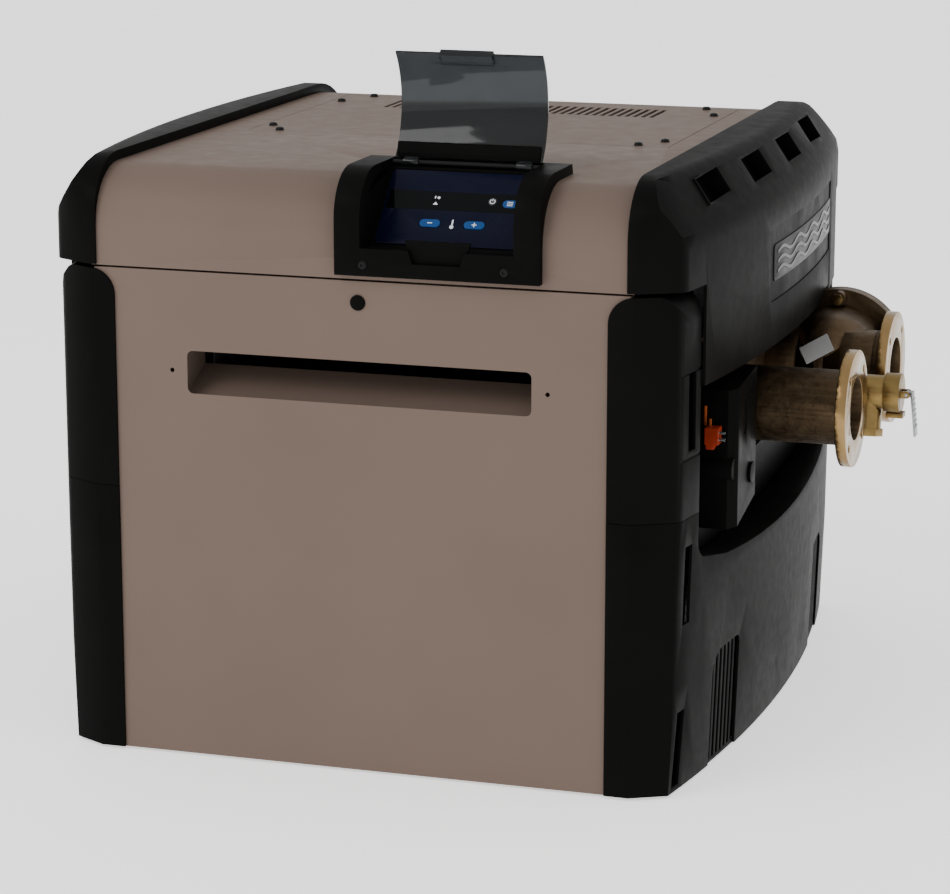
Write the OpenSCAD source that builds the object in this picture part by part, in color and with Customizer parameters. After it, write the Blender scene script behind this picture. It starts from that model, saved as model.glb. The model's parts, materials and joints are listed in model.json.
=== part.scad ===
// Low-profile outdoor pool and spa water heater with a forced-draught burner.
// Frame: +X to the plumbing side, +Y to the back, +Z up; the origin is the middle of the footprint.

/* [Cabinet] */
// Widest width across the bowed side panels
body_w = 700; // [695:1:705]
// Depth from the front panel to the back panel
body_d = 760; // [755:1:765]
// Height to the top of the black side covers
body_h = 606; // [604:1:608]
// Radius of the long bow of each side, seen from above
bow_r = 2140; // [2050:10:2250]
// Corner radius of the black side panels, seen from above
corner_r = 18; // [15:1:22]
// How far behind the moulded front each corner's radius is centred
corner_depth = 34; // [30:1:38]
// Wall thickness of the moulded side panels
wall = 3; // [2.5:0.5:3.5]
// Thickness of the painted sheet metal
sheet = 1.5; // [1:0.25:2]
// How far the moulded panels stand in front of the sheet-metal front
proud = 3; // [2.5:0.5:4]
// How far the side panels draw in at the floor
foot_taper = 6; // [4:1:10]

/* [Front and top] */
// Visible width of the front panel
front_w = 505; // [500:1:508]
// Height of the seam between front panel and top panel
seam_z = 499; // [497:1:501]
// Height of the flat top panel
top_z = 596; // [595:1:597]
// Radius of the rounded front edge of the top panel
nose_r = 58; // [54:1:62]
// Radius of the rounded rear edge of the top panel
rear_nose_r = 128; // [110:2:140]
// Width of the exhaust slot in the front panel
slot_w = 354; // [340:1:360]
// Lower edge of the exhaust slot
slot_z = 376; // [372:1:380]
// Height of the exhaust slot
slot_h = 43; // [40:1:46]
// Spacing of the two vent-kit screw holes
vent_screw_spacing = 386; // [376:2:392]
// Width of the removable access panel in the top
access_w = 460; // [440:5:470]
// Depth of the removable access panel in the top
access_d = 325; // [310:5:335]
// Distance from the front to the access panel
access_from_front = 307; // [300:1:312]
// Number of slots in the access panel's grille
grille_slots = 34; // [28:1:36]

/* [Control panel] */
// Width of the control bezel
bezel_w = 206; // [200:1:210]
// Offset of the bezel's middle from the cabinet's middle
bezel_x = 84.5; // [80:0.5:90]
// How far the bezel stands proud of the painted panels
bezel_proud = 10; // [9:0.5:11]
// Width of the smoky display cover
cover_w = 150; // [140:1:151]
// Radius of the curve of the display cover
cover_r = 80; // [78:1:84]
// Straight distance from the cover's hinge to its free edge
cover_chord = 108; // [104:1:109]
// Thickness of the display cover
cover_t = 2.4; // [2:0.2:3]

/* [Water connections] */
// Height of the water connections
port_z = 340; // [338:1:342]
// Distance from the front to the inlet pipe
inlet_from_front = 290; // [288:1:292]
// Distance from the front to the outlet pipe
outlet_from_front = 508; // [506:1:510]
// Distance from the cabinet's middle plane to the flange faces
flange_x = 436; // [430:1:440]
// Outside diameter of the flanges
flange_d = 120; // [116:1:122]
// Thickness of the flanges
flange_t = 11; // [9:0.5:13]
// Outside diameter of the water pipes
pipe_d = 77; // [75:1:80]
// Bore of the water pipes
pipe_bore = 64; // [62:0.5:66]
// Bolt circle of the flanges
flange_pcd = 98; // [96:1:100]
// Diameter of the flange bolt holes
flange_hole_d = 8; // [7:0.5:9]
// Distance from the front to the relief valve
relief_from_front = 376; // [374:1:378]

/* [Heat exchanger and burner] */
// Number of finned tubes
tube_count = 6; // [4:1:6]
// Outside diameter of each tube
tube_d = 22; // [20:1:24]
// Number of fins on each tube
fin_count = 24; // [12:1:30]
// Number of burner tubes
burner_count = 5; // [3:1:5]
// Number of blades on the blower wheel
blade_count = 16; // [12:1:20]

/* [Hidden] */
$fn = 48;

PAINT = [0.55, 0.48, 0.43];
BLACK = [0.09, 0.09, 0.09];
SMOKE = [0.18, 0.19, 0.20];
BRONZE = [0.52, 0.38, 0.20];
BRASS = [0.72, 0.55, 0.22];
STEEL = [0.66, 0.67, 0.68];
ZINC = [0.60, 0.61, 0.62];
COPPER = [0.70, 0.38, 0.22];
NAVY = [0.05, 0.07, 0.20];
BLUE = [0.10, 0.35, 0.65];

front_y = -body_d / 2;
back_y = body_d / 2;
face_y = front_y - proud;
floor_gap = 3;
gap = 0.6;                       // shadow gap between neighbouring panels
fit = 0.05;                      // radial clearance of a shaft in its bore
bow_x = body_w / 2 - bow_r;      // axis of the bowed side
lower_top_z = 277;
mid_top_z = 497;
upper_low_z = 402;
block_depth = 70;                // how far the front corner blocks reach along the side
rear_block = 62;                 // how far the rear corner blocks reach along the side
tan_side_x = 277;                // edge of the painted top under the side covers
cover_edge_x = 271;              // inner edge of the side covers on the painted top
panel_half = 274;                // half width of the front and back panels
rear_seam_z = 460;               // lower edge of the painted top at the back
corner_slope = 28;               // slant of the flat strip between a corner and the front

// Points of an arc in the drawing plane
function arc(cx, cy, r, a0, a1, n) =
    [for (i = [0:n]) let (a = a0 + (a1 - a0) * i / n) [cx + r * cos(a), cy + r * sin(a)]];
function reversed(p) = [for (i = [len(p) - 1:-1:0]) p[i]];
// Half width of the bowed side at a distance y from the middle
function side_x(y) = body_w / 2 - (bow_r - sqrt(bow_r * bow_r - y * y));

module along_x(w) { rotate([90, 0, 90]) linear_extrude(height = w, center = true) children(); }
module along_y(w) { rotate([90, 0, 0]) linear_extrude(height = w, center = true) children(); }
module rod_x(r, x0, x1) { translate([x0, 0, 0]) rotate([0, 90, 0]) cylinder(r = r, h = x1 - x0); }
module rod_y(r, y0, y1) { translate([0, y0, 0]) rotate([-90, 0, 0]) cylinder(r = r, h = y1 - y0); }
module span(p0, p1) { translate(p0) cube(p1 - p0); }
module rounded(w, h, r) {
    translate([-w / 2, -h / 2]) polygon(concat(
        arc(r, r, r, 180, 270, 5), arc(w - r, r, r, 270, 360, 5),
        arc(w - r, h - r, r, 0, 90, 5), arc(r, h - r, r, 90, 180, 5)));
}

// ---- bowed moulded side panels (drawn for the right side) ----

// Solid of revolution whose outside is the bowed side, from a list of [inset, z]
module bowed(profile, inset) {
    depth = 110;
    translate([bow_x, 0, 0]) rotate([0, 0, -13]) rotate_extrude(angle = 26, $fn = 256)
        polygon(concat(
            [[bow_r - depth, profile[0][1]]],
            [for (p = profile) [bow_r - p[0] - inset, p[1]]],
            [[bow_r - depth, profile[len(profile) - 1][1]]]));
}

// Upright prism with slanted and rounded corners, a little wider than a bow that stands out by swell
module corner_prism(inset, z0, z1, swell = 0) {
    reach = bow_r + swell - corner_r;
    cy = face_y + corner_depth;
    turn = asin(cy / reach);
    last = turn - 4;
    front = arc(bow_x + reach * cos(turn), cy, corner_r - inset, corner_slope - 90, last, 7);
    crease = [front[0][0] - (front[0][1] - face_y - inset) / tan(corner_slope), face_y + inset];
    end = front[len(front) - 1];
    half = concat([[180, crease[1]], crease], front);
    translate([0, 0, z0]) linear_extrude(height = z1 - z0)
        polygon(concat(half, [[end[0] + end[1] * tan(last), 0]], [for (p = reversed(half)) [p[0], -p[1]]]));
}

// Moulded shell between two heights; profile gives the inset of the side at each height
module side_shell(profile, z0, z1, inner_x, t = wall) {
    difference() {
        intersection() {
            bowed(profile, 0);
            corner_prism(0, z0, z1);
            span([inner_x, face_y - 1, z0], [400, -face_y + 1, z1]);
        }
        intersection() {
            translate([0, 0, -1]) bowed(concat(profile, [[profile[len(profile) - 1][0], z1 + 2]]), t);
            corner_prism(t, z0 - 1, z1 + 1);
        }
    }
}

// ---- sheet-metal cabinet ----

module base_pan() color(ZINC) {
    pan_w = 560;
    pan_d = body_d - 36;
    rim = 34;
    difference() {
        translate([0, 0, rim / 2]) cube([pan_w, pan_d, rim], center = true);
        translate([0, 0, rim / 2 + 2.5]) cube([pan_w - 4, pan_d - 4, rim], center = true);
        for (x = [-200, 200], y = [-250, 250]) translate([x, y, -1]) cylinder(r = 6, h = 5);
    }
    for (x = [-240, 240]) span([x - 12, -pan_d / 2 + 2, 2.5], [x + 12, pan_d / 2 - 2, 22]);
}

module front_panel() color(PAINT) {
    half = panel_half;
    top = seam_z - 1;
    flange = 16;
    difference() {
        span([-half, front_y, floor_gap], [half, front_y + flange, top]);
        span([-half + sheet, front_y + sheet, floor_gap + sheet],
            [half - sheet, front_y + flange + 1, top - sheet]);
        translate([0, front_y, slot_z + slot_h / 2]) along_y(10) rounded(slot_w, slot_h, 6);
        for (x = [-1, 1]) translate([x * vent_screw_spacing / 2, 0, slot_z + slot_h / 2 + 1])
            rod_y(2.3, front_y - 1, front_y + 5);
        translate([2, 0, 477]) rod_y(7, front_y - 1, front_y + 5);
    }
}

module exhaust_deflector() color(PAINT) {
    w = slot_w + 16;
    z0 = slot_z - 6;
    height = slot_h + 12;
    y0 = front_y + sheet;
    depth = 62;
    lip = 12;                                       // level stretch behind the slot
    rise = 22;                                      // climb of the floor behind it
    translate([0, y0, z0]) {
        along_x(w) polygon([
            [0, 0], [lip, 0], [depth, rise], [depth, rise + 2], [lip, 2], [sheet, 2], [sheet, 5], [0, 5]]);
        for (x = [-1, 1]) translate([x * (w - sheet) / 2, 0, 0]) along_x(sheet)
            polygon([[0, 0], [lip, 0], [depth, rise], [depth, height], [0, height]]);
        translate([-w / 2, 0, height - sheet]) cube([w, depth, sheet]);
    }
}

module hole_plug() color(BLACK) translate([2, 0, 477]) {
    rod_y(7.6, front_y - 1.6, front_y);
    rod_y(6.9, front_y, front_y + 6);
}

function top_line(inset) = concat(
    [[front_y + inset, seam_z + 1]],
    arc(front_y + nose_r, top_z - nose_r, nose_r - inset, 180, 90, 9),
    arc(back_y - rear_nose_r, top_z - rear_nose_r, rear_nose_r - inset, 90, 0, 14),
    [[back_y - inset, rear_seam_z]]);

module top_solid(inset, w) along_x(w) polygon(concat([[front_y + inset, rear_seam_z]], top_line(inset)));

module top_panel() color(PAINT) {
    ay0 = front_y + access_from_front;
    difference() {
        union() {
            along_x(2 * tan_side_x) polygon(concat(top_line(0), reversed(top_line(sheet))));
            for (x = [-1, 1]) translate([x * (tan_side_x - sheet / 2), 0, 0]) intersection() {
                top_solid(0, sheet);
                span([-sheet, front_y, 572], [sheet, back_y, top_z]);
            }
            // seat that the access panel lies on
            span([-access_w / 2 - 6, ay0 - 6, top_z - 10], [access_w / 2 + 6, ay0 + access_d + 6, top_z - 0.5]);
        }
        span([-access_w / 2 - 0.8, ay0 - 0.8, top_z - sheet - 1],
            [access_w / 2 + 0.8, ay0 + access_d + 0.8, top_z + 1]);
        span([-access_w / 2 + 22, ay0 + 22, top_z - 12], [access_w / 2 - 22, ay0 + access_d - 22, top_z + 1]);
        screw_places() translate([0, 0, -14]) cylinder(r = 2.3, h = 20);
        // cut-out that the display tub drops into
        span([bezel_x - tub_w / 2 - 1, front_y - 1, 522], [bezel_x + tub_w / 2 + 1, front_y + 102, top_z + 1]);
    }
}

// Two screws by each corner of the access panel and one in the middle of its front and back
module screw_places() {
    ay0 = front_y + access_from_front;
    for (sx = [-1, 1], p = [[33, 9], [13, 42], [13, access_d - 66], [34, access_d - 14]])
        translate([sx * (access_w / 2 - p[0]), ay0 + p[1], top_z]) children();
    for (p = [9, access_d - 9]) translate([0, ay0 + p, top_z]) children();
}

module access_panel() color(PAINT) {
    ay0 = front_y + access_from_front;
    slot_len = 67;
    pitch = 9.3;
    difference() {
        span([-access_w / 2, ay0, top_z - sheet], [access_w / 2, ay0 + access_d, top_z]);
        screw_places() translate([0, 0, -3]) cylinder(r = 2.3, h = 6);
        for (i = [0:grille_slots - 1])
            translate([(i - (grille_slots - 1) / 2) * pitch, ay0 + access_d - 32 - slot_len / 2, top_z])
                cube([5.2, slot_len, 6], center = true);
    }
}

module button_screw(r, h, shank) {
    difference() {
        cylinder(r1 = r, r2 = r * 0.72, h = h);
        translate([0, 0, h * 0.4]) cylinder(r = r * 0.42, h = h, $fn = 6);
    }
    translate([0, 0, -shank]) cylinder(r = 2.2, h = shank);
}

module panel_screws() color(BLACK) screw_places() button_screw(5, 3.2, 11);

module rear_panel() color(PAINT) {
    half = panel_half;
    top = rear_seam_z - 2;
    difference() {
        span([-half, back_y - 16, floor_gap], [half, back_y, top]);
        span([-half + sheet, back_y - 17, floor_gap + sheet], [half - sheet, back_y - sheet, top - sheet]);
        for (row = [0:9], x = [-150, 0, 150])
            translate([x, back_y, 90 + row * 18]) cube([110, 8, 5], center = true);
        translate([-120, 0, 420]) rod_y(16, back_y - 5, back_y + 1);
        translate([-60, 0, 420]) rod_y(11, back_y - 5, back_y + 1);
    }
}

// ---- black moulded side panels ----

// The side covers stand out beyond the panels below them
cover_swell = 3;
UPPER = [[-cover_swell, upper_low_z - 2], [-cover_swell, 540], [0, 553], [7, 565], [29, 598], [35, 604],
    [43, body_h]];

module upper_outline(inset) {
    along_x(1000) polygon(concat(
        [[face_y + inset, 390]], arc(face_y + nose_r, body_h - nose_r, nose_r - inset, 180, 90, 9),
        arc(-face_y - rear_nose_r, body_h - rear_nose_r, rear_nose_r - inset, 90, 0, 14),
        [[-face_y - inset, 390]]));
}

module upper_solid(inset) {
    profile = [for (p = UPPER) [p[0], p[1] - (p[1] > 540 ? inset : 0)]];
    intersection() {
        bowed(profile, inset);
        corner_prism(inset, 380, body_h + 10, cover_swell);
        upper_outline(inset);
        span([cover_edge_x - inset * 30, face_y - 1, 390], [400, -face_y + 1, body_h + 10]);
    }
}

module upper_cover() {
    difference() {
        union() {
            difference() {
                upper_solid(0);
                upper_solid(wall);
            }
            intersection() {
                upper_solid(0);
                span([cover_edge_x, face_y - 1, seam_z + 1], [cover_edge_x + wall, -face_y + 1, body_h]);
            }
        }
        top_solid(-gap, 2 * tan_side_x + 2);
        // stops above the corner blocks
        span([200, face_y - 2, 380], [420, front_y + block_depth, mid_top_z + 4]);
        span([200, back_y - rear_block, 380], [420, -face_y + 2, mid_top_z + 4]);
        span([200, -500, 380], [420, 500, upper_low_z]);
        at_vents() cube([vent_h, vent_len, 16], center = true);
        emblem_pocket();
        // clears the rim of the bell
        translate([bell_x, 0, port_z]) rod_y(ring_r + 2, ring_y - 24, ring_y + 24);
    }
    // pocket behind each vent
    at_vents() difference() {
        translate([0, 0, -10]) cube([vent_h + 3, vent_len + 3, 16], center = true);
        translate([0, 0, -8]) cube([vent_h, vent_len, 17], center = true);
    }
}

vent_h = 27;
vent_len = 70;

// The four vents on the sloping shoulder of a side cover; z points out of the shoulder
module at_vents() {
    for (i = [0:3]) let (y = front_y + 145 + 144 * i)
        translate([side_x(y) - 20, y, 585]) rotate([0, 56, 0]) children();
}

badge_r = bow_r + cover_swell - 1.2;

// Shallow recess in the bowed side for the blank badge
module emblem_pocket() {
    difference() {
        translate([bow_x, 0, 0]) rotate([0, 0, -6]) rotate_extrude(angle = 12, $fn = 256)
            polygon([[badge_r, 380], [bow_r + 40, 380], [bow_r + 40, 620], [badge_r, 620]]);
        difference() {
            span([0, -400, 300], [500, 400, 700]);
            translate([300, 92, 487]) along_x(300) rounded(415, 77, 9);
        }
    }
}

module upper_cover_right() color(BLACK) upper_cover();
module upper_cover_left() color(BLACK) mirror([1, 0, 0]) upper_cover();

module emblem_plates() color(STEEL) {
    for (s = [0, 1]) mirror([s, 0, 0]) intersection() {
        translate([bow_x, 0, 0]) rotate([0, 0, -6]) rotate_extrude(angle = 12, $fn = 256)
            polygon([[badge_r + 0.1, 380], [badge_r + 0.9, 380], [badge_r + 0.9, 620], [badge_r + 0.1, 620]]);
        translate([300, 92, 487]) along_x(300) rounded(386, 38, 6);
    }
}

function groove(z) = [[0, z - 1.8], [1.2, z - 0.8], [1.2, z + 0.8], [0, z + 1.8]];
MID = concat([[0, lower_top_z + 0.5]], groove(336), groove(420),
    [[0, 470], [3, 485], [10, 494], [16, mid_top_z]]);

// Narrow upright slot near the front corner, its foot leaning forwards
module upright_slot(y, z0, z1, lean) {
    width = 17;
    translate([330, 0, 0]) along_x(120)
        polygon([[y - lean, z0], [y - lean + width, z0], [y + width, z1], [y, z1]]);
}

module mid_shell() {
    half_front = front_w / 2;
    difference() {
        side_shell(MID, lower_top_z + 0.5, mid_top_z, half_front);
        // rounded upper inner corner of each block
        for (s = [-1, 1]) translate([half_front, s * front_y, mid_top_z - 26]) along_y(40)
            difference() {
                square(26.1);
                translate([26.1, 0]) circle(r = 26.1);
            }
    }
    // blunt top of the shell
    intersection() {
        bowed(MID, 0);
        corner_prism(0, mid_top_z - wall, mid_top_z);
        span([half_front + 26, face_y - 1, mid_top_z - wall], [400, -face_y + 1, mid_top_z]);
        union() {
            span([0, face_y, 0], [400, front_y + block_depth, 500]);
            span([0, back_y - rear_block, 0], [400, -face_y, 500]);
        }
    }
}

// Opening for the plumbing between the corner blocks
module side_opening() {
    sill_r = 2600;
    y0 = front_y + block_depth - 3;
    y1 = back_y - rear_block + 3;
    translate([330, 0, 0]) along_x(200) polygon(concat(
        [[y0, upper_low_z + 100]],
        arc(y0 + 22, 250, 22, 180, 262, 5),
        [for (i = [1:9]) let (y = y0 + 22 + (y1 - y0 - 44) * i / 10)
            [y, 203 + sill_r - sqrt(sill_r * sill_r - y * y) + 3]],
        arc(y1 - 22, 250, 22, 278, 360, 5),
        [[y1, upper_low_z + 100]]));
}

module mid_panel_right() color(BLACK) difference() {
    mid_shell();
    side_opening();
    span([290, front_y + block_depth, 200], [400, back_y - rear_block, 520]);
    upright_slot(-342, 343, 419, 0);
}

module mid_panel_left() color(BLACK) mirror([1, 0, 0]) {
    difference() {
        mid_shell();
        span([290, front_y + block_depth, upper_low_z - gap], [400, back_y - rear_block, 520]);
        // cable entry
        translate([0, -60, 330]) rod_x(11, 300, 400);
    }
}

LOWER = [[foot_taper, floor_gap], [foot_taper * 0.4, 110], [1.5, 200], [0, lower_top_z]];

module lower_shell() {
    difference() {
        side_shell(LOWER, floor_gap, lower_top_z, front_w / 2);
        louver_fields(0);
        upright_slot(-344, 171, 249, 2);
        upright_slot(-351, 9, 84, 7);
    }
    louver_ribs();
}

// Two louvre fields at the floor, each with its wide corner away from the middle
louver = [-262, -182, 120];

module louver_fields(grow) {
    for (s = [0, 1]) mirror([0, s, 0]) translate([330, 0, 0]) along_x(200) polygon(concat(
        [[louver[0] - grow, -10]],
        arc(louver[0] + 25, louver[2] - 25, 25 + grow, 180, 90, 6),
        arc(louver[1] - 8, louver[2] - 8, 8 + grow, 90, 0, 3),
        [[louver[1] + grow, -10]]));
}

// Upright ribs in the louvre fields, tied together along the floor
module louver_ribs() {
    ribs = 6;
    pitch = (louver[1] - louver[0]) / (ribs + 1);
    intersection() {
        difference() {
            bowed(LOWER, 2.2);
            translate([0, 0, -1]) bowed(LOWER, 9);
        }
        louver_fields(0.5);
        union() for (s = [0, 1]) mirror([0, s, 0]) {
            for (i = [1:ribs]) let (y = louver[0] + i * pitch)
                span([200, y - 2.8, floor_gap], [400, y + 2.8, 130]);
            span([200, louver[0] - 1, floor_gap], [400, louver[1] + 1, floor_gap + 5]);
        }
    }
}

module lower_panel_right() color(BLACK) {
    difference() {
        lower_shell();
        side_opening();
    }
    // sill ledge that turns inwards below the opening
    difference() {
        intersection() {
            bowed(LOWER, 0.5);
            translate([0, 0, -7]) side_opening();
            span([308, -400, 150], [400, 400, lower_top_z - 1]);
        }
        side_opening();
    }
}

module lower_panel_left() color(BLACK) mirror([1, 0, 0]) difference() {
    lower_shell();
    // gas pipe entry
    translate([0, gas_y, gas_z]) rod_x(23, 300, 400);
}

// Dark inner wall of the plumbing recess
module recess_panel() color(BLACK) difference() {
    span([302, front_y + block_depth - 2, 190], [304, back_y - rear_block, 398]);
    span([290, header_y0 - 6, port_z - 76], [310, ring_y + 46, upper_low_z + 1]);
    translate([0, front_y + 150, 300]) rod_x(14, 290, 310);
}

// ---- control panel ----

bz0 = 505;
bezel_nose = 48;
bezel_top = top_z + bezel_proud;
bezel_face = front_y - bezel_proud;
hinge_y = front_y + 91;
hinge_z = 602.5;
window_w = cover_w + 4;
tub_w = window_w + 6;
slope = [68, 70];                                   // run and rise of the display
slope_len = norm(slope);
tilt = atan2(slope[0], slope[1]);                   // lean of the display from upright
panel_y = front_y + 22;
panel_z = 528;
seat = 1.5;                                         // height of the display's seat over its plane
seat_y = -seat * slope[1] / slope_len;
seat_z = seat * slope[0] / slope_len;

// Frame of the sloping display: x across, y up the slope, z out of its face
module on_display() { translate([bezel_x, panel_y, panel_z]) rotate([90 - tilt, 0, 0]) children(); }

module bezel_outline(inset) {
    polygon(concat(
        [[bezel_face + inset, bz0]],
        arc(bezel_face + bezel_nose, bezel_top - bezel_nose, bezel_nose - inset, 180, 90, 9),
        [[front_y + 101, bezel_top - inset], [front_y + 104, top_z + 0.2]],
        reversed([for (p = top_line(-0.2)) if (p[0] < front_y + 59 && p[1] > bz0) p]),
        [[front_y - 0.2, bz0]]));
}

module control_bezel() color(BLACK) difference() {
    union() {
        translate([bezel_x, 0, 0]) along_x(bezel_w) bezel_outline(0);
        // tub that carries the display below the painted panel
        translate([bezel_x, 0, 0]) along_x(tub_w) polygon([
            [front_y - 2, 527], [panel_y + 3, 526], [panel_y + slope[0] + 3, panel_z + slope[1] - 4],
            [front_y + 101, panel_z + slope[1] - 4], [front_y + 101, top_z + 3], [front_y - 2, top_z - 20]]);
    }
    // recess of the display and its cover
    translate([bezel_x, 0, 0]) along_x(window_w) polygon([
        [front_y - 60, 534], [front_y + 10, 531], [panel_y + seat_y, panel_z + seat_z],
        [panel_y + slope[0] + seat_y, panel_z + slope[1] + seat_z - 1],
        [front_y + 97.5, top_z + 2], [front_y + 97.5, 640], [front_y - 60, 640]]);
    // finger notch below the cover
    translate([bezel_x, front_y - 5, 0]) along_y(22) polygon([[-24, 519], [24, 519], [31, 540], [-31, 540]]);
    translate([bezel_x, hinge_y, hinge_z]) rod_x(2 + fit, -window_w / 2 - 12, window_w / 2 + 12);
    bezel_screw_places() rod_y(2.3, -4, 30);
    on_display() keypad_slots();
}

module bezel_screw_places() {
    for (x = [-74, 68]) translate([bezel_x + x, bezel_face, bz0 + 11]) children();
}

module bezel_screws() color(STEEL) bezel_screw_places() rotate([90, 0, 0]) button_screw(4.6, 2.2, 8);

// Display cover, drawn standing open, with its hinge line on the X axis
module display_cover() color(SMOKE) translate([bezel_x, hinge_y, hinge_z]) {
    lean = 2.4;
    half = cover_chord / 2;
    reach = sqrt(cover_r * cover_r - half * half);
    sweep = asin(half / cover_r);
    rotate([-lean, 0, 0]) {
        translate([0, -reach, half]) along_x(cover_w) polygon(concat(
            arc(0, 0, cover_r, -sweep + 3, sweep, 14),
            reversed(arc(0, 0, cover_r - cover_t, -sweep + 3, sweep, 14))));
        // grip on the free edge
        translate([-2, -reach, half]) along_x(54) polygon(concat(
            arc(0, 0, cover_r + 1.2, sweep - 8, sweep + 1.8, 4),
            reversed(arc(0, 0, cover_r - 7, sweep - 8, sweep + 1.8, 4))));
    }
    // hinge knuckles
    for (x = [-58, 58]) difference() {
        union() {
            rod_x(4, x - 8, x + 8);
            translate([x, 0, 0]) rotate([-lean, 0, 0]) along_x(14)
                polygon([[-2.6, 0], [2.6, 0], [7.5, 9], [3.6, 9.5]]);
        }
        rod_x(2 + fit, -100, 100);
    }
}

module hinge_pin() color(STEEL) translate([bezel_x, hinge_y, hinge_z])
    rod_x(2, -window_w / 2 - 8, window_w / 2 + 8);

module keypad_slots() {
    for (b = BUTTONS) translate([b[0], b[1], -8]) linear_extrude(height = 16)
        rounded(b[2] + 0.8, b[3] + 0.8, b[3] / 2);
}

// Buttons on the display: x across, distance up the slope, width, height
BUTTONS = [[-22.5, 29.5, 21, 9], [22.5, 29.5, 21, 9], [53, 56, 15, 9], [35, 58, 9, 9]];
lcd = [-18, 57, 88, 17];

module keypad_overlay() color(NAVY) on_display() difference() {
    translate([0, slope_len / 2 - 1, seat + 0.1]) linear_extrude(height = 1.2)
        rounded(window_w - 6, slope_len - 10, 4);
    translate([lcd[0], lcd[1], seat - 1]) linear_extrude(height = 4) rounded(lcd[2] + 0.4, lcd[3] + 0.4, 1.5);
    keypad_slots();
}

module lcd_screen() color([0.02, 0.03, 0.03]) on_display()
    translate([lcd[0], lcd[1], seat + 0.1]) linear_extrude(height = 1) rounded(lcd[2], lcd[3], 1.3);

module button(i) {
    b = BUTTONS[i];
    on_display() translate([b[0], b[1], seat - 1.6]) linear_extrude(height = 3.7)
        rounded(b[2], b[3], b[3] / 2 - 0.1);
}
module minus_button() color(BLUE) button(0);
module plus_button() color(BLUE) button(1);
module menu_button() color(BLUE) button(2);
module mode_button() color(STEEL) button(3);

module control_board() color([0.05, 0.30, 0.15]) {
    on_display() translate([0, slope_len / 2, -12]) {
        translate([-56, -32, 0]) cube([112, 64, 1.6]);
        for (x = [-50, 50], y = [-26, 26]) translate([x, y, 1.6]) cylinder(r = 2.5, h = 3);
        translate([-30, -12, -5]) cube([28, 22, 5]);
        translate([14, -20, -9]) cube([22, 14, 9]);
    }
}

module transformer() color([0.25, 0.25, 0.27]) translate([-190, front_y + 120, 470]) {
    cube([58, 48, 46], center = true);
    cube([36, 66, 34], center = true);
    translate([0, 0, -24]) cube([84, 52, 2.5], center = true);
}

// ---- wiring box in the plumbing recess ----

jb_y0 = front_y + 163;
jb_y1 = front_y + 247;
jb_x = 341;

module junction_solid(inset) {
    intersection() {
        translate([330, 0, 0]) along_x(90) polygon([
            [jb_y0 + inset, 236 + inset], [jb_y1 - inset, 254 + inset],
            [jb_y1 - inset, 388 - inset], [jb_y0 + inset, 378 - inset]]);
        translate([0, 0, 200]) linear_extrude(height = 250) polygon([
            [304, jb_y0 - 20], [jb_x - 9 - inset, jb_y0 - 20], [jb_x - 9 - inset, jb_y0 + inset],
            [jb_x - inset, jb_y0 + 9 + inset], [jb_x + 1 - inset, jb_y1 + 20], [304, jb_y1 + 20]]);
    }
}

module junction_box() color(BLACK) {
    difference() {
        union() {
            junction_solid(0);
            // moulded shoulder across the front face
            translate([jb_x - 20, jb_y0 + 4, 298]) along_x(34) circle(r = 11);
        }
        junction_solid(2.4);
        translate([jb_x, jb_y0 + 62, 282]) rod_x(9.2, -10, 10);
        translate([jb_x, jb_y0 + 36, 345]) along_x(1.6) rounded(14, 36, 6);
        translate([jb_x - 22, jb_y0, 338]) rod_y(6.5, -6, 6);
    }
}

module conduit_plug() color(BLACK) translate([jb_x, jb_y0 + 62, 282]) {
    rod_x(11, 1.1, 3.2);
    rod_x(9.1, -6, 1.1);
}

module wire_connector() color([0.65, 0.15, 0.06]) translate([jb_x - 22, jb_y0 - 9, 334]) {
    cube([14, 16, 17], center = true);
    translate([-2, 0, -11]) cube([8, 12, 5.5], center = true);
}

module connector_posts() color(STEEL) translate([jb_x - 22, jb_y0 - 9, 334])
    for (z = [-3.5, 3.5]) translate([0, -3, z]) rod_x(1.6, 7, 13);

module lead_wires() color([0.75, 0.35, 0.10]) {
    translate([jb_x - 25, jb_y0 - 9, 342.5]) cylinder(r = 1.6, h = 8);
    translate([jb_x - 31, jb_y0 - 5, 342.5]) cylinder(r = 1.6, h = 20);
}

// ---- water side ----

inlet_y = front_y + inlet_from_front;
outlet_y = front_y + outlet_from_front;
relief_y = front_y + relief_from_front;
header_x0 = 262;
header_x1 = 300;
header_y0 = front_y + 250;
header_y1 = front_y + 562;
bell_x = 362;
ring_y = front_y + 576;
ring_r = 70;
dome_r = 53;
bell_bolt_r = 61.5;

module header_casting() color(BRONZE) difference() {
    union() {
        translate([(header_x0 + header_x1) / 2 + 4, (header_y0 + header_y1) / 2, port_z])
            along_x(header_x1 - header_x0 - 8) rounded(header_y1 - header_y0 - 24, 96, 30);
        translate([header_x0 + 6, (header_y0 + header_y1) / 2, port_z])
            along_x(12) rounded(header_y1 - header_y0, 128, 20);
        header_bolt_places() rod_x(12, 0, 14);
    }
    translate([(header_x0 + header_x1) / 2 - 6, (header_y0 + header_y1) / 2, port_z])
        along_x(header_x1 - header_x0) rounded(header_y1 - header_y0 - 36, 84, 24);
    header_bolt_places() rod_x(4.5, -1, 16);
    translate([0, inlet_y, port_z]) rod_x(pipe_bore / 2, 290, 330);
    translate([0, relief_y, port_z]) rod_x(10, 290, 330);
    translate([0, outlet_y, port_z]) rod_x(30, 290, 330);
}

// Six fixing lugs of the header, three above and three below
module header_bolt_places() {
    for (z = [-1, 1], i = [0:2])
        translate([header_x0, header_y0 + 20 + i * (header_y1 - header_y0 - 40) / 2, port_z + z * 57])
            children();
}

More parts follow.
